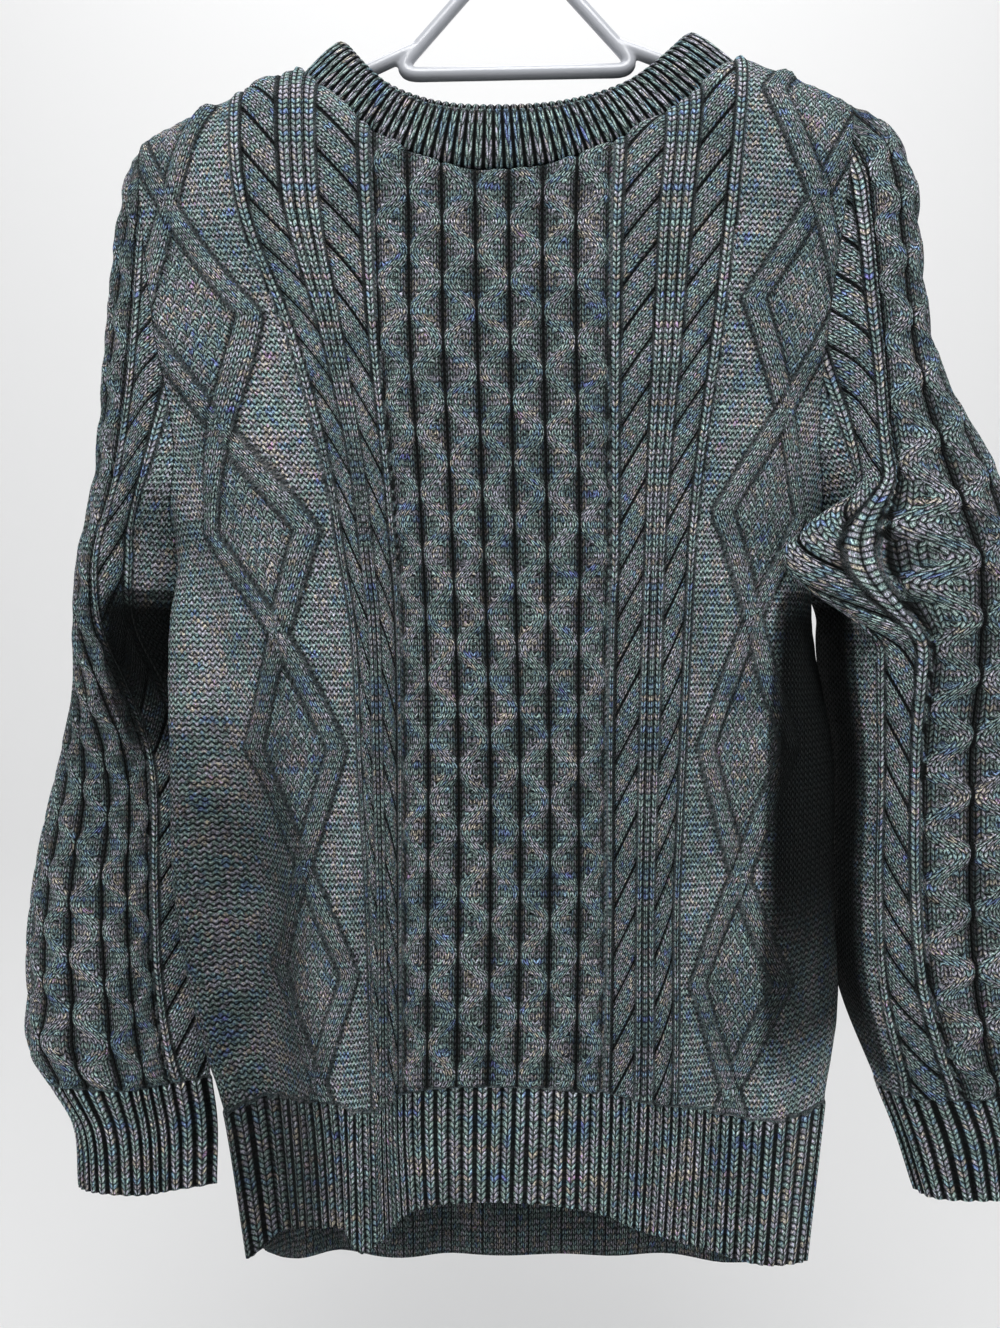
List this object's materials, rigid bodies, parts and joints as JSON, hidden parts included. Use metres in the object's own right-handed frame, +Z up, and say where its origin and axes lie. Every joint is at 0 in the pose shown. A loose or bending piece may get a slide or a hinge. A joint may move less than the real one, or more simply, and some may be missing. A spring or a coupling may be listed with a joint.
{
  "type": "cable knit sweater on a hanger",
  "caption": "Hand-knit style cable sweater with a honeycomb front, rope cables, ribbed neck, cuffs and hem, hanging on a white tubular hanger.",
  "frame": {"origin": "the point inside the top of the hanger's hook that bears on its rail", "axes": "+Z up, the sweater's front faces -Y, +X runs to the viewer's right along the shoulders"},
  "size_m": [0.6155, 0.1205, 0.8297],
  "materials": {
    "wool_front": "matte",
    "wool_back": "matte",
    "wool_sleeve_left": "matte",
    "wool_sleeve_right": "matte",
    "wool_neckband": "matte",
    "hanger_plastic": "gloss"
  },
  "bodies": {
    "root": {"front": "wool_front", "back": "wool_back", "sleeve_left": "wool_sleeve_left", "sleeve_right": "wool_sleeve_right", "neckband": "wool_neckband", "hanger": "hanger_plastic"}
  },
  "joints": []
}
